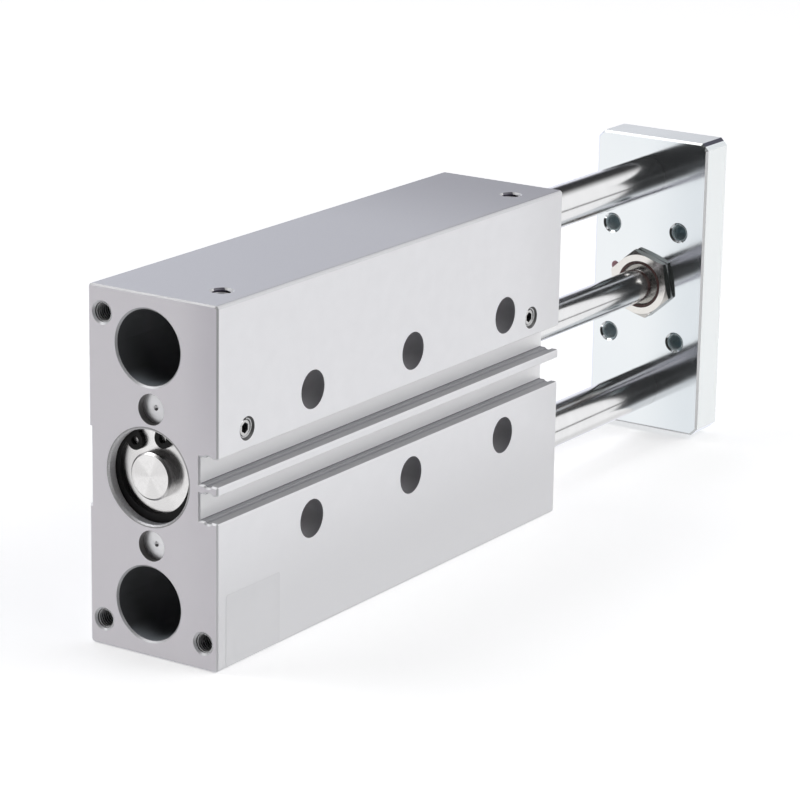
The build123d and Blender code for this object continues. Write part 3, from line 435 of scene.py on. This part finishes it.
far_lip_reflection = overlap(tree, holes(tree, own, "Z", far_lip_reflection_axes, 0.0014), under(tree, z, TOP - 0.00003))
coat(tree, union(tree, tapped_rear, tapped_side), (0.11, 0.11, 0.11), 0.4)
coat(tree, recesses, (0.25, 0.24, 0.24), 0.4)
coat(tree, tapped_top, (0.060, 0.052, 0.072), 0.4)
coat(tree, overlap(tree, far_lip_reflection, 0.85), (0.060, 0.052, 0.085), 0.4)
dress(anodised, "housing")

# Threads: a ridge wound inside each tapped hole, cut by the tap and left bright by it.
# There are three in the rear face, two in the top and two in the side ports behind their screws.
PITCH = 0.0008
tapped = finish("tapped_thread", (0.80, 0.80, 0.81), (0.95, 0.95, 0.96), grain, 3000, (0.30, 0.45),
                0.000004, metallic=0.7)


def thread(name, body, mouth, turn, turns, used=tapped):
    """Inner thread along +X from its mouth, turned into its hole, as one wound ridge closed at both ends."""
    bpy.ops.object.select_all(action="DESELECT")
    bpy.ops.mesh.primitive_circle_add(
        vertices=3, radius=PITCH * 0.30, location=(PITCH / 2, 0, THREAD - PITCH * 0.12),
        rotation=(-pi / 2, 0, 0))
    ridge = bpy.context.object
    ridge.name = name
    bpy.ops.object.transform_apply(location=True, rotation=True, scale=True)
    wound = ridge.modifiers.new("wound", "SCREW")
    wound.axis = "X"
    wound.angle = 2 * pi
    wound.screw_offset = PITCH
    wound.iterations = turns
    wound.steps = 28
    wound.render_steps = 28
    bpy.ops.object.modifier_apply(modifier="wound")
    bpy.ops.object.mode_set(mode="EDIT")
    bpy.ops.mesh.select_all(action="SELECT")
    bpy.ops.mesh.fill_holes(sides=3)
    bpy.ops.mesh.select_all(action="SELECT")
    bpy.ops.mesh.normals_make_consistent(inside=False)
    bpy.ops.object.mode_set(mode="OBJECT")
    ridge.rotation_euler = turn
    ridge.location = mouth
    bpy.ops.object.transform_apply(location=True, rotation=True, scale=True)
    ridge.data.materials.append(used)
    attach(ridge, body)


SUNK = 0.0001               # a thread starts this far inside its face
for name, (y, z) in REAR_THREADS.items():
    thread("rear_thread_" + name, "cylinder", (REAR_END + SUNK, y, z), (0, 0, 0), 13)
for name, x in TOP_PORTS.items():
    thread("top_port_thread_" + name, "cylinder", (x, TOP_PORT_PLANE, TOP - SUNK), (0, pi / 2, 0), 8)
for name, x in SIDE_PORTS.items():
    thread("side_port_thread_" + name, "cylinder", (x, WIDE_FACE + SUNK, SIDE_PORT_HEIGHT),
           (0, 0, pi / 2), 2)

# Channel plugs: short aluminium slugs, turned, with a centre mark, pressed in below the end faces.
# Their faces are matt, with fine grain.
slug = finish("turned_slug", (0.70, 0.70, 0.72), (0.80, 0.80, 0.82), grain, 1500, (0.30, 0.42), 0.000006)
dress(slug, "rear_channel_plug_lower", "rear_channel_plug_upper", "front_channel_plug_lower",
      "front_channel_plug_upper")

# Port screws: small stainless set screws with a hexagon socket that close the two side ports.
# They are cold formed and plain, and their sockets are painted dark as painted shade.
SOCKET = 0.00146            # radius round the socket's corners
set_screw = finish("stainless_set_screw", (0.50, 0.50, 0.50), (0.66, 0.66, 0.66), grain, 1800, (0.22, 0.36),
                   0.000004)
tree = set_screw.node_tree
own, x, y, z = spot_of(tree)
sockets = overlap(tree, holes(tree, own, "Y", side_port_axes, SOCKET),
                  over(tree, y, WIDE_FACE + 0.00075))
coat(tree, sockets, (0.05, 0.05, 0.05), 0.3)
dress(set_screw, "rear_port_plug_screw", "front_port_plug_screw")

# End caps: turned from aluminium bar and left bright, the rear one with a boss that stands in its ring.
# The tool's fine rings run round every face, and the end faces carry darker sectors of painted sheen.
bright = finish("bright_turned", (0.82, 0.81, 0.81), (0.88, 0.87, 0.87), rings, 14000, (0.24, 0.30),
                0.0000004, centre=(0, ROD_PLANE, ROD_HEIGHT))
tree = bright.node_tree
shader = tree.nodes["Principled BSDF"]
shader.inputs["Anisotropic"].default_value = 0.6
round_axis = place(tree, "ShaderNodeTangent", {}, direction_type="RADIAL", axis="X").outputs["Tangent"]
tree.links.new(round_axis, shader.inputs["Tangent"])
own, x, y, z = spot_of(tree)
facing = facing_of(tree)
angle = calc(tree, "ARCTAN2", calc(tree, "SUBTRACT", z, ROD_HEIGHT), calc(tree, "SUBTRACT", y, ROD_PLANE))
wave = calc(tree, "SINE", calc(tree, "ADD", calc(tree, "MULTIPLY", angle, 3.0), 0.6))
sheen_wedges = overlap(tree, ramp(tree, wave, -0.4, 0.9, 0.0, 0.7), over(tree, size_of(tree, facing["X"]), 0.95))
coat(tree, sheen_wedges, (0.72, 0.71, 0.71))
dress(bright, "rear_end_cap", "front_bearing_cap")

# Retaining rings: stamped spring steel, phosphated black, snapped into their grooves.
# The coating is dull, with a fine tooth.
phosphated = finish("phosphated_spring_steel", (0.004, 0.004, 0.004), (0.009, 0.008, 0.009), grain, 2500,
                    (0.45, 0.65), 0.000006, metallic=0.0)
phosphated.node_tree.nodes["Principled BSDF"].inputs["Specular IOR Level"].default_value = 0.25
dress(phosphated, "rear_retaining_ring", "front_retaining_ring")

# Seals: moulded black rubber on the caps, the piston and the rods, and the piston's cushion pads.
# The skin is smooth and dull, with a little bloom.
rubber = finish("moulded_rubber", (0.012, 0.012, 0.012), (0.026, 0.026, 0.026), grain, 900, (0.50, 0.72),
                0.000006, metallic=0.0)
dress(rubber, "rear_cap_o_ring", "front_cap_o_ring", "rod_seal", "rod_wiper", "guide_wiper_lower",
      "guide_wiper_upper", "piston_seal_rear", "piston_seal_front", "cushion_pad_rear", "cushion_pad_front")

# Rod bush: sintered bronze, pressed into the front cap and soaked with oil.
# Its pores show as dark specks.
bronze = finish("sintered_bronze", (0.34, 0.19, 0.08), (0.62, 0.40, 0.18), grain, 4000, (0.30, 0.50),
                0.000010, centre=(0, ROD_PLANE, ROD_HEIGHT))
dress(bronze, "rod_bearing_bush")

# Ball bushings: ground steel sleeves, steel balls and moulded cages, two in each guide bore.
# The sleeves show fine grinding marks round them; the cages are dark moulded plastic.
ground = finish("ground_bearing_steel", (0.50, 0.50, 0.51), (0.62, 0.62, 0.63), grain, 900, (0.12, 0.22),
                0.000001, stretch=(6, 1, 1))
moulded = finish("moulded_cage", (0.030, 0.031, 0.034), (0.055, 0.056, 0.060), grain, 1400, (0.40, 0.55),
                 0.000004, metallic=0.0)
for bushing in ("lower_rear", "lower_front", "upper_rear", "upper_front"):
    dress(ground, f"ball_bushing_{bushing}_shell", f"ball_bushing_{bushing}_balls")
    dress(moulded, f"ball_bushing_{bushing}_cage")

# Piston: turned aluminium, with a moulded guide ring and a plastic-bonded magnet.
# It is all inside the bore, held on the rod's end by a nut.
dress(bright, "piston")
dress(moulded, "piston_guide_ring")
ferrite = finish("bonded_ferrite", (0.020, 0.019, 0.018), (0.045, 0.042, 0.040), grain, 3000, (0.45, 0.60),
                 0.000004, metallic=0.0)
dress(ferrite, "piston_magnet")

# Rods: two guide rods of hardened steel and the piston rod, all ground and hard chromed.
# The chrome is close to a mirror, with the grinding left as the finest marks round the rods.
chrome = finish("hard_chrome", (0.82, 0.82, 0.83), (0.85, 0.85, 0.86), grain, 300, (0.15, 0.19),
                0.00000015, stretch=(8, 1, 1))
dress(chrome, "guide_rod_lower", "guide_rod_upper", "piston_rod")

# Coupling: a plated sleeve screwed through the yoke, held by a thin hexagon nut on the cylinder's side.
# The nut's flats are darker than its turned face. The piston's nut and the rods' screws are plated alike.
plated = finish("plated_fastener", (0.34, 0.33, 0.31), (0.48, 0.47, 0.44), grain, 1200, (0.20, 0.32),
                0.000004)
dress(plated, "rod_coupling_sleeve", "piston_nut", "guide_rod_screw_lower", "guide_rod_screw_upper")
nut_finish = finish("lock_nut_steel", (0.24, 0.26, 0.25), (0.34, 0.36, 0.34), grain, 900, (0.14, 0.24),
                    0.000003)
tree = nut_finish.node_tree
facing = facing_of(tree)
# Painted highlight: the faces of the nut that look up are painted lighter.
coat(tree, ramp(tree, facing["Z"], 0.70, 0.85), (0.72, 0.77, 0.75), 0.7, 0.3)
coat(tree, ramp(tree, size_of(tree, facing["X"]), 0.55, 0.70), (0.82, 0.80, 0.77))
dress(nut_finish, "rod_lock_nut")

# Locking fluid, still glossy: a bead of dark red-brown that was brushed on the sleeve's thread.
# It has run round the nut's mouth and set there.
locker = finish("locking_fluid", (0.035, 0.016, 0.014), (0.13, 0.062, 0.056), grain, 700, (0.18, 0.30),
                0.000010, metallic=0.0)
bpy.ops.object.select_all(action="DESELECT")
bpy.ops.mesh.primitive_torus_add(
    location=(0.16055, ROD_PLANE, ROD_HEIGHT), rotation=(0, pi / 2, 0), major_segments=64,
    minor_segments=10, major_radius=0.0066, minor_radius=0.00052)
bead = bpy.context.object
bead.name = "locking_fluid_bead"
bpy.ops.object.transform_apply(location=True, rotation=True, scale=True)
bpy.ops.object.mode_set(mode="EDIT")
bpy.ops.mesh.select_all(action="SELECT")
bpy.ops.transform.vertex_random(offset=0.00010, uniform=1.0, seed=4)
bpy.ops.mesh.vertices_smooth(factor=0.5, repeat=2)
bpy.ops.mesh.faces_shade_smooth()
bpy.ops.object.mode_set(mode="OBJECT")
bead.data.materials.append(locker)
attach(bead, "carriage")

# Locking fluid, dried: a small flat dab of the same fluid beside the nut.
# It lies on the yoke plate and is paler and duller than the bead.
dried = finish("dried_locking_fluid", (0.30, 0.14, 0.16), (0.55, 0.32, 0.35), grain, 700, (0.30, 0.45),
               0.000010, metallic=0.0)
bpy.ops.object.select_all(action="DESELECT")
bpy.ops.mesh.primitive_ico_sphere_add(subdivisions=4, radius=0.0013, location=(0.1629, 0.0112, 0.0500))
dab = bpy.context.object
dab.name = "locking_fluid_dab"
dab.scale = (0.35, 0.9, 1.0)
bpy.ops.object.transform_apply(location=True, rotation=True, scale=True)
bpy.ops.object.mode_set(mode="EDIT")
bpy.ops.mesh.select_all(action="SELECT")
bpy.ops.transform.vertex_random(offset=0.00012, uniform=1.0, seed=7)
bpy.ops.mesh.vertices_smooth(factor=0.5, repeat=4)
bpy.ops.mesh.faces_shade_smooth()
bpy.ops.object.mode_set(mode="OBJECT")
dab.data.materials.append(dried)
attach(dab, "carriage")

# Yoke plate: cut from flat steel bar, ground and bright zinc plated, with a cold bluish cast.
# Four threads go right through it, and a socket head screw in front holds each guide rod.
low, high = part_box("yoke_plate")
PLATE_REAR, PLATE_SIDE, PLATE_BOTTOM = low
PLATE_TOP = high.z
THREAD_SPREAD = 0.01125     # from the rods' plane to a thread, either way
PLATE_EDGE = 0.001          # height of the strip along an edge that holds its break
yoke_threads = {
    "upper_front": (ROD_PLANE - THREAD_SPREAD, ROD_HEIGHT + BOLT_RISE),
    "upper_back": (ROD_PLANE + THREAD_SPREAD, ROD_HEIGHT + BOLT_RISE),
    "lower_front": (ROD_PLANE - THREAD_SPREAD, ROD_HEIGHT - BOLT_RISE),
    "lower_back": (ROD_PLANE + THREAD_SPREAD, ROD_HEIGHT - BOLT_RISE),
}
zinc = finish("bright_zinc", (0.83, 0.87, 0.90), (0.87, 0.90, 0.92), grain, 160, (0.08, 0.12), 0.000002)
tree = zinc.node_tree
own, x, y, z = spot_of(tree)
facing = facing_of(tree)
rear_face_shade = overlap(tree, ramp(tree, facing["X"], -0.90, -0.95), ramp(tree, y, 0.004, -0.016))
upper_edge = overlap(tree, broken_edge(tree, facing["X"], facing["Z"], -1),
                     over(tree, z, PLATE_TOP - PLATE_EDGE))
side_edge = overlap(tree, broken_edge(tree, facing["X"], facing["Y"], 1),
                    under(tree, y, PLATE_SIDE + PLATE_EDGE))
lower_edge = overlap(tree, broken_edge(tree, facing["X"], facing["Z"], 1),
                     under(tree, z, PLATE_BOTTOM + PLATE_EDGE))
shaded_long_edge = overlap(tree, ramp(tree, calc(tree, "MULTIPLY", facing["Y"], facing["Z"]), -0.35, -0.45),
                         over(tree, z, PLATE_TOP - 0.0009), under(tree, y, 0.0))
tapped_through = holes(tree, own, "X", [(0, *spot) for spot in yoke_threads.values()], THREAD + PAST_WALL)
# Painted shade and light: the rear face darker towards the wide side, the top face tinted and the side faces
# paler.
coat(tree, rear_face_shade, (0.74, 0.785, 0.82))
coat(tree, square_to(tree, facing["Z"]), (0.84, 0.87, 0.82))
coat(tree, square_to(tree, size_of(tree, facing["Y"])), (0.94, 0.97, 0.98), 0.55, 0.2)
# Painted shade on the top break and the long top edge, and painted light on the side and lower breaks.
coat(tree, upper_edge, (0.60, 0.62, 0.62), 0.5)
coat(tree, union(tree, side_edge, lower_edge), (0.97, 0.98, 0.98), 0.0, 0.5)
coat(tree, shaded_long_edge, (0.06, 0.06, 0.09))
coat(tree, tapped_through, (0.80, 0.90, 0.93), 0.4, 0.3)
dress(zinc, "yoke_plate")
zinc_thread = finish("zinc_thread", (0.62, 0.76, 0.80), (0.95, 0.98, 0.99), grain, 3000, (0.16, 0.28),
                     0.000003, metallic=0.75)
for name, (y, z) in yoke_threads.items():
    thread("yoke_thread_" + name, "carriage", (PLATE_REAR + SUNK, y, z), (0, 0, 0), 14, used=zinc_thread)

# Label: a bare foil sticker near the rear lower corner of the wide face, with rounded corners.
# It is thin, a little glossier than the block, and carries no print.
LABEL_LENGTH, LABEL_HEIGHT = 0.0225, 0.0185
LABEL_CORNER = 0.0008
FOIL = 0.00004
foil = finish("bare_foil", (0.71, 0.71, 0.73), (0.74, 0.74, 0.76), grain, 400, (0.34, 0.42), 0.000003,
              metallic=0.5)
bpy.ops.object.select_all(action="DESELECT")
bpy.ops.mesh.primitive_plane_add(size=1, location=(-0.06425, -0.0195, 0.0098), rotation=(pi / 2, 0, 0))
label = bpy.context.object
label.name = "foil_label"
label.scale = (LABEL_LENGTH, LABEL_HEIGHT, 1)
bpy.ops.object.transform_apply(location=True, rotation=True, scale=True)
bpy.ops.object.mode_set(mode="EDIT")
bpy.ops.mesh.select_all(action="SELECT")
bpy.ops.mesh.bevel(offset=LABEL_CORNER, segments=5, affect="VERTICES")
bpy.ops.object.mode_set(mode="OBJECT")
thickness = label.modifiers.new("foil", "SOLIDIFY")
thickness.thickness = FOIL
thickness.offset = 1.0
bpy.ops.object.modifier_apply(modifier="foil")
label.data.materials.append(foil)
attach(label, "cylinder")
